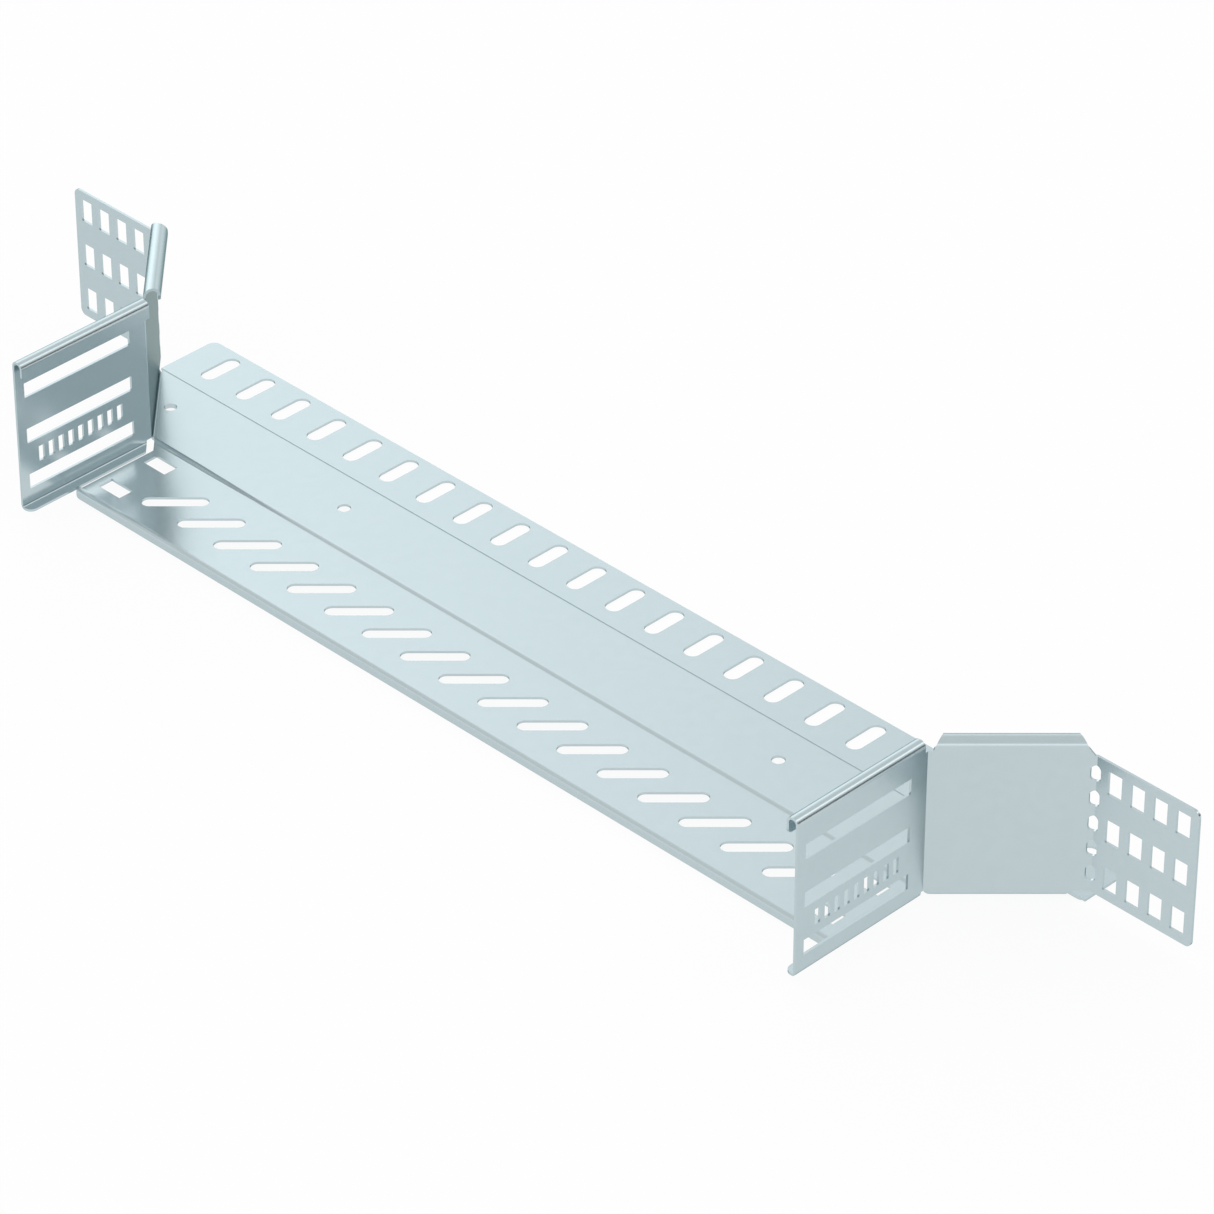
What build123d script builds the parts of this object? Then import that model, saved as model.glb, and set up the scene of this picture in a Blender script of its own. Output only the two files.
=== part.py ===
from build123d import *
import math
import os

# Branch tee for a perforated cable tray, folded from steel sheet in three pieces: a floor plate
# and two side walls that mirror each other. X runs along the floor's long edges, Y from the
# branch to the tray that it leaves, Z up. The sizes below are in millimetres. While the pieces
# are drawn, y = 0 is the front face of the two fixing plates and z = 0 is what the tee rests on.

# Sheet and overall sizes
sheet = 1.5
bend = 1.0
tray_width = 595.0
wall_height = 98.0
wall_lift = 5.0
upright_turn = 45.0

# Side wall: straight part, oblique part and fixing plate
wall_length = 95.0
splay = 60.0
plate_length = 67.4
plate_low = 3.0
plate_drop = 9.6
plate_corner = 4.0

# Rolled top edges and bottom flanges of the walls
roll_flat = 0.6
wall_roll_width = 7.8
wall_roll_drop = 10.9
wall_roll_end = 2.0
wall_roll_corner = 2.5
splay_roll_width = 9.7
splay_roll_drop = 7.2
splay_roll_lean = 0.34
splay_roll_flare = 0.42
corner_notch = 2.5
corner_roll_start = 3.2
plate_notch = 0.6
plate_roll_start = 4.2
wall_flange = 7.6
wall_flange_corner = 4.5
splay_flange = 20.0
flange_clearance = 1.2
fold_notch_low = 3.3
fold_notch_drop = 6.5
mitre_setback = 1.9

# Openings of the walls, counted from the wall's underside
row_low = 15.8
row_pitch = 30.0
long_slot_start = 6.0
long_slot_end = 12.0
long_slot_height = 9.5
short_slot_width = 4.0
short_slot_height = 9.7
short_slot_pitch = 7.2
short_slot_inset = 6.0
plate_hole_width = 9.0
plate_hole_height = 14.5
plate_hole_pitch = 15.0
plate_hole_first = 12.5
relief_width = 6.0
relief_height = 9.7
relief_pitch = 15.7
relief_low = 15.0

# Floor plate: front zone, raised middle zone and dropped rear zone
front_edge = 121.7
rear_edge = 41.2
crease_front = 58.6
crease_rear = 6.7
step_run = 6.0
floor_gap = 2.3
lip_gap = 0.3
splay_gap = 1.4
rear_tab = 2.4
rear_corner = 5.0
lip_corner = 2.0

# Openings of the floor plate
slot_pitch = 30.0
rear_slot_width = 10.0
rear_slot_length = 27.0
rear_slot_inset = 17.9
front_slot_width = 9.0
front_slot_length = 38.0
front_slot_turn = 45.0
front_slot_y = 91.5
slot_margin = 6.0
end_hole_width = 17.5
end_hole_depth = 10.0
end_hole_inset = 14.0
end_hole_y = 89.5
end_hole_pitch = 33.6
round_hole = 7.5
round_hole_y = 30.5
inner_hole_x = 167.2
outer_hole_inset = 10.2

# Values that follow from the sizes above
outer_bend = bend + sheet
side_x = tray_width / 2
wall_top = wall_lift + wall_height
wall_front = splay + wall_length
splay_length = splay * math.sqrt(2)
setback = bend * math.tan(math.radians(upright_turn / 2))
floor_end = side_x - wall_flange - floor_gap
lip_end = side_x - wall_flange - lip_gap
middle_top = wall_lift + 2 * sheet
front_top = wall_lift + sheet
step_foot = crease_rear - step_run
outer_hole_x = side_x + splay - round_hole_y - outer_hole_inset * math.sqrt(2)
plate_high = wall_height - plate_drop
fold_notch_high = wall_height - fold_notch_drop
splay_roll_radius = (splay_roll_width - roll_flat) / 2
long_slot_length = wall_length - long_slot_start - long_slot_end
row_count = 1 + int((plate_high - row_low - plate_hole_height / 2) / row_pitch)
centre_y = (rear_edge - wall_front) / 2


def face_offset(points, distance):
    """Corners of a line of points moved to its left by a distance."""
    headings = [(end - start).normalized() for start, end in zip(points, points[1:])]
    moved = []
    for index, point in enumerate(points):
        before = headings[max(index - 1, 0)]
        after = headings[min(index, len(headings) - 1)]
        left = Vector(-before.Y - after.Y, before.X + after.X)
        moved.append(point + left * (distance / (1 + before.dot(after))))
    return moved


def folded_section(corners, bends):
    """Section of a folded sheet. The corners run along one face, with the sheet on their left, and
    the bends are the inner radii of its folds."""
    near = [Vector(*corner) for corner in corners]
    far = face_offset(near, sheet)
    near_radii = []
    far_radii = []
    for before, here, after, radius in zip(near, near[1:], near[2:], bends):
        turns_left = (here - before).cross(after - here).Z > 0
        near_radii.append(radius + sheet if turns_left else radius)
        far_radii.append(radius if turns_left else radius + sheet)
    outline = [
        FilletPolyline(*near, radius=near_radii),
        FilletPolyline(*far, radius=far_radii),
        Line(near[0], far[0]),
        Line(near[-1], far[-1]),
    ]
    return make_face(outline)


def rounded(part, point, radius):
    """The part with the edge nearest to a point rounded."""
    return fillet(part.edges().sort_by_distance(point)[0], radius)


def prism(corners, low, high):
    """Upright cutting body over an outline in plan."""
    outline = Pos(0, 0, low) * Polygon(*corners, align=None)
    return extrude(outline, high - low, dir=(0, 0, 1))


def through_wall(outlines):
    """Cutting bodies through an upright sheet that lies along X, outlines in X and Z."""
    return [extrude(Plane.XZ * outline, 2 * sheet, both=True) for outline in outlines]


# The three parts of a side wall are each drawn with X along the wall, the outer face at y = 0,
# the sheet and its flanges on the +Y side and x = 0 at the corner where the part starts.


def edged_panel(roll_width, roll_drop, flange, start, end):
    """Straight piece of wall with its half-round top edge and its bottom flange."""
    corners = [
        (roll_width, wall_top - roll_drop),
        (roll_width, wall_top),
        (0, wall_top),
        (0, wall_lift),
        (flange, wall_lift),
    ]
    roll_bend = (roll_width - roll_flat) / 2 - sheet
    section = folded_section(corners, [roll_bend, roll_bend, bend])
    return extrude(Plane.YZ.offset(start) * section, end - start, dir=(1, 0, 0))


def upright_fold(corner, low, high):
    """The fold that joins a part of the wall to the next one."""
    slice_height = high - low
    slice_outline = Pos(sheet / 2, low + slice_height / 2) * Rectangle(sheet, slice_height)
    hinge = Axis((corner - setback, -bend, 0), (0, 0, -1))
    return revolve(Plane.YZ.offset(corner - setback) * slice_outline, hinge, upright_turn)


def straight_wall():
    """Front part of the wall, with its long and short slots."""
    wall = edged_panel(wall_roll_width, wall_roll_drop, wall_flange, 0, wall_length - setback)
    wall = rounded(wall, (0, wall_flange, wall_lift + sheet / 2), wall_flange_corner)
    drop_middle = wall_roll_width - sheet / 2
    wall = rounded(wall, (0, drop_middle, wall_top - wall_roll_drop), wall_roll_corner)
    slot_x = long_slot_start + long_slot_length / 2
    outlines = []
    for row in range(row_count):
        slot = Rectangle(long_slot_length, long_slot_height)
        outlines.append(Pos(slot_x, wall_lift + row_low + row * row_pitch) * slot)
    short_reach = (long_slot_length - short_slot_width) / 2 - short_slot_inset
    short_count = 1 + 2 * int(short_reach / short_slot_pitch)
    short_z = wall_lift + row_low + row_pitch / 2
    for place in GridLocations(short_slot_pitch, 1, short_count, 1):
        outlines.append(Pos(slot_x, short_z) * place * Rectangle(short_slot_width, short_slot_height))
    wall -= through_wall(outlines)
    return wall - straight_end_cuts()


def straight_end_cuts():
    """What is cut off the straight part beside its upright fold: flange, top edge and its drop."""
    flange_reach = wall_flange + sheet
    mitre_x = wall_length - mitre_setback
    mitre = [
        (mitre_x + sheet, -sheet),
        (mitre_x - flange_reach, flange_reach),
        (wall_length, flange_reach),
        (wall_length, -sheet),
    ]
    roll_end = wall_length - wall_roll_end
    roll_reach = wall_roll_width + sheet
    across, behind = (
        [(roll_end, front), (wall_length, front), (wall_length, roll_reach), (roll_end, roll_reach)]
        for front in (-sheet, 2 * sheet)
    )
    return [
        prism(mitre, 0, wall_lift + fold_notch_low),
        prism(across, wall_lift + fold_notch_high, wall_top + sheet),
        prism(behind, wall_top - wall_roll_drop - sheet, wall_top + sheet),
    ]


def splay_end_cuts():
    """What is cut off both ends of the oblique part's top edge, which lean and flare inwards."""
    roll_foot = wall_top - splay_roll_radius
    reach = splay_roll_width + sheet
    ends = (
        (0, 1, wall_lift + fold_notch_high, corner_notch, corner_roll_start),
        (splay_length, -1, wall_lift + plate_high, plate_notch, plate_roll_start),
    )
    cuts = []
    for end, inward, notch, foot, start in ends:
        past = end - inward * reach
        notch_x = end + inward * foot
        start_x = end + inward * start
        elevation = Polygon(
            (past, notch), (notch_x, notch), (start_x, roll_foot), (past, roll_foot), align=None
        )
        cuts.append(extrude(Plane.XZ * elevation, 2 * sheet, both=True))
        flared_x = start_x + inward * splay_roll_flare * reach
        front_x = start_x - inward * splay_roll_flare * sheet
        roll_plan = Polygon(
            (past, -sheet), (front_x, -sheet), (flared_x, reach), (past, reach), align=None
        )
        lean = (inward * splay_roll_lean, 0, 1)
        cuts.append(extrude(Pos(0, 0, roll_foot) * roll_plan, reach, dir=lean))
        behind_x = start_x + inward * splay_roll_flare * 2 * sheet
        behind = [(past, 2 * sheet), (behind_x, 2 * sheet), (flared_x, reach), (past, reach)]
        cuts.append(prism(behind, wall_top - splay_roll_drop - sheet, roll_foot))
    return cuts


def splay_wall():
    """Oblique part of the wall. Its bottom flange carries the floor's middle zone."""
    end = splay_length - setback
    wall = edged_panel(splay_roll_width, splay_roll_drop, splay_flange, setback, end)
    return wall - splay_end_cuts()


def fixing_plate():
    """Perforated plate at the wall's end, which lies against the tray that the branch leaves."""
    height = plate_high - plate_low
    middle_z = wall_lift + (plate_high + plate_low) / 2
    outline = Pos((plate_length + setback) / 2, middle_z) * Rectangle(plate_length - setback, height)
    plate = extrude(Plane.XZ * outline, sheet, dir=(0, 1, 0))
    for edge_z in (wall_lift + plate_low, wall_lift + plate_high):
        plate = rounded(plate, (plate_length, sheet / 2, edge_z), plate_corner)
    column_room = plate_length - plate_hole_first - plate_hole_width
    column_count = 1 + int(column_room / plate_hole_pitch)
    hole = Rectangle(plate_hole_width, plate_hole_height)
    holes = []
    for column in range(column_count):
        for row in range(row_count):
            x = plate_hole_first + column * plate_hole_pitch
            z = wall_lift + row_low + row * row_pitch
            holes.append(Pos(x, z) * hole)
    return plate - through_wall(holes)


def fold_reliefs():
    """Slots along the fold between the oblique part and the plate, which make it easy to bend."""
    width = relief_width * math.cos(math.radians(upright_turn / 2))
    slot = SlotOverall(relief_height, width, rotation=90)
    count = 1 + int((plate_high - relief_low - relief_height / 2) / relief_pitch)
    rows = [wall_lift + relief_low + row * relief_pitch for row in range(count)]
    return through_wall([Pos(0, row) * slot for row in rows])


def side_wall():
    """The right-hand wall: straight part, oblique part and plate, all from one sheet."""
    first_corner = Pos(side_x, -splay) * Rot(0, 0, upright_turn)
    second_corner = Pos(side_x + splay, 0)
    straight = straight_wall()
    straight += upright_fold(wall_length, wall_lift + fold_notch_low, wall_lift + fold_notch_high)
    oblique = splay_wall()
    oblique += upright_fold(splay_length, wall_lift + plate_low, wall_lift + plate_high)
    oblique = first_corner * oblique - flange_cuts()
    wall = Pos(side_x, -wall_front) * Rot(0, 0, 2 * upright_turn) * straight
    wall += oblique
    wall += second_corner * fixing_plate()
    wall -= [second_corner * Rot(0, 0, upright_turn / 2) * cut for cut in fold_reliefs()]
    return wall


def flange_cuts():
    """What is cut off the oblique part's flange: both ends, and its hole under the floor's hole."""
    inner_x = side_x - splay_flange
    outer_x = side_x + 2 * splay
    front = -crease_front + flange_clearance
    rear = -crease_rear - flange_clearance
    front_end = [(inner_x, -wall_front), (outer_x, -wall_front), (outer_x, front), (inner_x, front)]
    rear_end = [(inner_x, rear), (outer_x, rear), (outer_x, wall_front), (inner_x, wall_front)]
    return [
        prism(front_end, 0, wall_lift + fold_notch_low),
        prism(rear_end, 0, wall_lift + plate_low),
        Pos(outer_hole_x, -round_hole_y, wall_lift) * Cylinder(round_hole / 2, 4 * sheet),
    ]


def floor_outline():
    """Plan of the floor plate: it widens along the oblique walls and ends in a wider rear zone."""
    splay_line = side_x + splay - (sheet + splay_gap) * math.sqrt(2)
    rear_end = splay_line - step_foot + rear_tab
    rear_front = -step_foot + setback
    lip_back = -front_edge + outer_bend
    right_side = [
        (lip_end, -front_edge),
        (lip_end, lip_back),
        (floor_end, lip_back),
        (floor_end, floor_end - splay_line),
        (splay_line + rear_front, rear_front),
        (rear_end, rear_front),
        (rear_end, rear_edge),
    ]
    left_side = [(-x, y) for x, y in reversed(right_side)]
    return right_side + left_side


def floor_slots():
    """Every opening of the floor plate, as outlines in plan."""
    openings = []
    rear_end = max(x for x, y in floor_outline())
    rear_reach = rear_end - rear_slot_width / 2 - 2 * slot_margin
    rear_count = 1 + 2 * int(rear_reach / slot_pitch)
    rear_slot = SlotOverall(rear_slot_length, rear_slot_width, rotation=90)
    for place in GridLocations(slot_pitch, 1, rear_count, 1):
        openings.append(Pos(0, rear_edge - rear_slot_inset) * place * rear_slot)
    end_hole_x = floor_end - end_hole_inset
    slot_half = (front_slot_length - front_slot_width) / 2 * math.cos(math.radians(front_slot_turn))
    slot_half += front_slot_width / 2
    front_reach = end_hole_x - end_hole_width / 2 - slot_margin - slot_half
    front_count = 1 + 2 * int(front_reach / slot_pitch)
    front_slot = SlotOverall(front_slot_length, front_slot_width, rotation=front_slot_turn)
    for place in GridLocations(slot_pitch, 1, front_count, 1):
        openings.append(Pos(0, -front_slot_y) * place * front_slot)
    for place in GridLocations(2 * end_hole_x, end_hole_pitch, 2, 2):
        openings.append(Pos(0, -end_hole_y) * place * Rectangle(end_hole_width, end_hole_depth))
    for hole_x in (inner_hole_x, outer_hole_x):
        for place in GridLocations(2 * hole_x, 1, 2, 1):
            openings.append(Pos(0, -round_hole_y) * place * Circle(round_hole / 2))
    return openings


def floor_plate():
    """Floor plate, one sheet: lip, front zone, raised middle zone, step and rear zone."""
    joggle = middle_top - front_top
    corners = [
        (rear_edge, sheet),
        (-step_foot, sheet),
        (-crease_rear, middle_top),
        (-crease_front, middle_top),
        (-crease_front - joggle, front_top),
        (-front_edge, front_top),
        (-front_edge, 0),
    ]
    section = folded_section(corners, [bend] * (len(corners) - 2))
    plate = extrude(Plane.YZ * section, side_x + splay, both=True)
    plate &= prism(floor_outline(), -sheet, wall_top)
    plate -= [extrude(outline, wall_top) for outline in floor_slots()]
    rear_end = max(x for x, y in floor_outline())
    for side in (-1, 1):
        plate = rounded(plate, (side * rear_end, rear_edge, sheet / 2), rear_corner)
        plate = rounded(plate, (side * lip_end, -front_edge + sheet / 2, 0), lip_corner)
    return plate


def save(part, name):
    """Write one piece, moved so that the origin is under the middle of the whole tee."""
    export_step(Pos(0, -centre_y, 0) * part, f"parts/{name}.step")


os.makedirs("parts", exist_ok=True)
right_wall = side_wall()
save(floor_plate(), "floor_plate")
save(right_wall, "side_wall_right")
save(mirror(right_wall, about=Plane.YZ), "side_wall_left")
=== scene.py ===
import math

import bpy
from mathutils import Matrix, Vector

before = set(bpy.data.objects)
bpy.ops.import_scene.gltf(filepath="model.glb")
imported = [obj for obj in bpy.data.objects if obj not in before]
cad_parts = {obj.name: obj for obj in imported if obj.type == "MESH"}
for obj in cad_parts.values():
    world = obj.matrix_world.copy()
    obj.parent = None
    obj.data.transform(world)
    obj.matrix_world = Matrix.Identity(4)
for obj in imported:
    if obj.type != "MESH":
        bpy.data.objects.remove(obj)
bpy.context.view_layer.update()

MM = 0.001
WHITE = "#FFFFFF"

# Camera, from the photograph: a long lens looking down on the branch end from its right corner.
# Angles are in degrees, the lens and the sensor in millimetres
CAMERA_AZIMUTH = 45.0
CAMERA_ELEVATION = 34.946
CAMERA_DISTANCE = 3323.7 * MM
CAMERA_REACH = 50
CAMERA_LENS = 181.03
SENSOR = 36.0
AIM = Vector((3.35, 62.86, 6.88)) * MM

# Zinc skin: its crystals' size and the two tones they lie between, the size of the slow changes
# that rolling leaves and the roughness they run between, and how little it gains at grazing
# angles, where a polished metal would turn white
CRYSTAL = 5 * MM
CRYSTAL_TONES = ("#C2D0D4", "#C4D2D6")
ROLLING = 60 * MM
ROLLING_DETAIL = 3.0
ROUGHNESS = (0.215, 0.235)
METALLIC = 0.9
GRAZING_TINT = "#738E8E"

# White floor: its size, how far it lies below the tee, its paint, and the share of it that shows
# full white without the tee's shadow
FLOOR_SIZE = 14.0
FLOOR_DROP = 0.02 * MM
FLOOR_PAINT = "#FAFAFA"
FLOOR_GLOW = 0.92

# Pale surround: its level, then the sides that differ from it, each with its direction, its level
# and the cosines between which it fades in
SURROUND = 0.82
SIDES = {
    "bright wall on the left": (Vector((-0.93, 0.23, 0.28)), 1.90, (0.71, 1.0)),
    "pale wall behind": (Vector((-0.21, 0.95, 0.22)), 1.15, (0.86, 0.97)),
    "bright strip in front, low down": (Vector((0.70, -0.70, 0.06)), 1.36, (0.91, 0.985)),
    "bright strip behind the right end": (Vector((0.40, 0.58, 0.71)), 1.85, (0.975, 0.997)),
    "dark gap at the right": (Vector((0.81, 0.58, 0.04)), 0.08, (0.90, 0.98)),
}


def linear(hex_colour):
    """An sRGB hex colour as linear RGBA."""
    channels = [int(hex_colour[start:start + 2], 16) / 255 for start in (1, 3, 5)]
    red, green, blue = [c / 12.92 if c <= 0.04045 else ((c + 0.055) / 1.055) ** 2.4 for c in channels]
    return red, green, blue, 1.0


def node(tree, kind, settings=None, **links):
    """Adds a node to a tree. Settings are its properties. Links are its inputs, each a value or
    another node's socket, under the input's name with _ for a space, or its number after a _."""
    made = tree.nodes.new(kind)
    for name, value in (settings or {}).items():
        setattr(made, name, value)
    for name, value in links.items():
        key = int(name[1:]) if name[0] == "_" else name.replace("_", " ")
        if isinstance(value, bpy.types.NodeSocket):
            tree.links.new(value, made.inputs[key])
        else:
            made.inputs[key].default_value = value
    return made


def fresh_tree(block):
    """The block's node tree, emptied."""
    block.use_nodes = True
    block.node_tree.nodes.clear()
    return block.node_tree


def galvanised_steel():
    """Hot-dip galvanised sheet: a thin zinc skin on rolled steel. It gives the eye an even, pale
    blue-grey metal with soft reflections and hardly any sparkle from its fine zinc crystals."""
    material = bpy.data.materials.new("galvanised_steel")
    tree = fresh_tree(material)
    place = node(tree, "ShaderNodeTexCoord").outputs["Object"]
    crystals = node(tree, "ShaderNodeTexVoronoi", Vector=place, Scale=1 / CRYSTAL)
    rolling = node(tree, "ShaderNodeTexNoise", Vector=place, Scale=1 / ROLLING, Detail=ROLLING_DETAIL)
    first_tone, last_tone = CRYSTAL_TONES
    tone = node(tree, "ShaderNodeMix", {"data_type": "RGBA"}, Factor=crystals.outputs["Color"],
                A=linear(first_tone), B=linear(last_tone))
    smoothest, roughest = ROUGHNESS
    rough = node(tree, "ShaderNodeMapRange", Value=rolling.outputs["Fac"],
                 To_Min=smoothest, To_Max=roughest)
    surface = node(tree, "ShaderNodeBsdfPrincipled", Base_Color=tone.outputs["Result"],
                   Metallic=METALLIC, Roughness=rough.outputs["Result"],
                   Specular_Tint=linear(GRAZING_TINT))
    node(tree, "ShaderNodeOutputMaterial", Surface=surface.outputs["BSDF"])
    return material


def dress_sheets():
    """Every folded sheet of the tee is the same galvanised steel."""
    steel = galvanised_steel()
    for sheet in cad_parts.values():
        for slot in sheet.material_slots:
            slot.material = steel


def add_camera():
    """The photograph's camera, turned about the vertical from the branch end towards +X."""
    azimuth = math.radians(CAMERA_AZIMUTH)
    elevation = math.radians(CAMERA_ELEVATION)
    back = Vector((
        math.sin(azimuth) * math.cos(elevation),
        -math.cos(azimuth) * math.cos(elevation),
        math.sin(elevation),
    ))
    right = Vector((math.cos(azimuth), math.sin(azimuth), 0))
    up = back.cross(right)
    data = bpy.data.cameras.new("camera")
    data.lens = CAMERA_LENS
    data.sensor_width = SENSOR
    data.clip_end = CAMERA_REACH
    camera = bpy.data.objects.new("camera", data)
    turn = Matrix((right, up, back)).transposed().to_4x4()
    camera.matrix_world = Matrix.Translation(AIM + back * CAMERA_DISTANCE) @ turn
    bpy.context.collection.objects.link(camera)
    bpy.context.scene.camera = camera


def add_floor():
    """White floor. It shows full white, and keeps a faint share of the tee's shadow."""
    mesh = bpy.data.meshes.new("floor")
    half = FLOOR_SIZE / 2
    corners = [(-half, -half), (half, -half), (half, half), (-half, half)]
    mesh.from_pydata([(x, y, -FLOOR_DROP) for x, y in corners], [], [(0, 1, 2, 3)])
    floor = bpy.data.objects.new("floor", mesh)
    bpy.context.collection.objects.link(floor)
    material = bpy.data.materials.new("white_floor")
    tree = fresh_tree(material)
    paint = node(tree, "ShaderNodeBsdfDiffuse", Color=linear(FLOOR_PAINT)).outputs["BSDF"]
    glow = node(tree, "ShaderNodeEmission", Color=linear(WHITE), Strength=1.0).outputs["Emission"]
    path = node(tree, "ShaderNodeLightPath").outputs
    seen = path["Is Camera Ray"]
    for ray in (path["Is Glossy Ray"], path["Is Transmission Ray"]):
        seen = node(tree, "ShaderNodeMath", {"operation": "MAXIMUM"}, _0=seen, _1=ray).outputs[0]
    share = node(tree, "ShaderNodeMath", {"operation": "MULTIPLY"}, _0=seen, _1=FLOOR_GLOW).outputs[0]
    surface = node(tree, "ShaderNodeMixShader", _0=share, _1=paint, _2=glow).outputs["Shader"]
    node(tree, "ShaderNodeOutputMaterial", Surface=surface)
    mesh.materials.append(material)


def add_world():
    """Pale soft surround, with its bright sides and its dark gap."""
    world = bpy.data.worlds.new("studio")
    bpy.context.scene.world = world
    tree = fresh_tree(world)
    towards = node(tree, "ShaderNodeTexCoord").outputs["Generated"]
    level = SURROUND
    for side, side_level, (fade_start, fade_end) in SIDES.values():
        facing = node(tree, "ShaderNodeVectorMath", {"operation": "DOT_PRODUCT"},
                      _0=towards, _1=side.normalized()).outputs["Value"]
        share = node(tree, "ShaderNodeMapRange", {"interpolation_type": "SMOOTHSTEP"},
                     Value=facing, From_Min=fade_start, From_Max=fade_end).outputs["Result"]
        level = node(tree, "ShaderNodeMapRange",
                     Value=share, To_Min=level, To_Max=side_level).outputs["Result"]
    background = node(tree, "ShaderNodeBackground", Color=linear(WHITE), Strength=level)
    node(tree, "ShaderNodeOutputWorld", Surface=background.outputs["Background"])


add_camera()
add_floor()
add_world()
dress_sheets()
bpy.context.scene.view_settings.view_transform = "Standard"
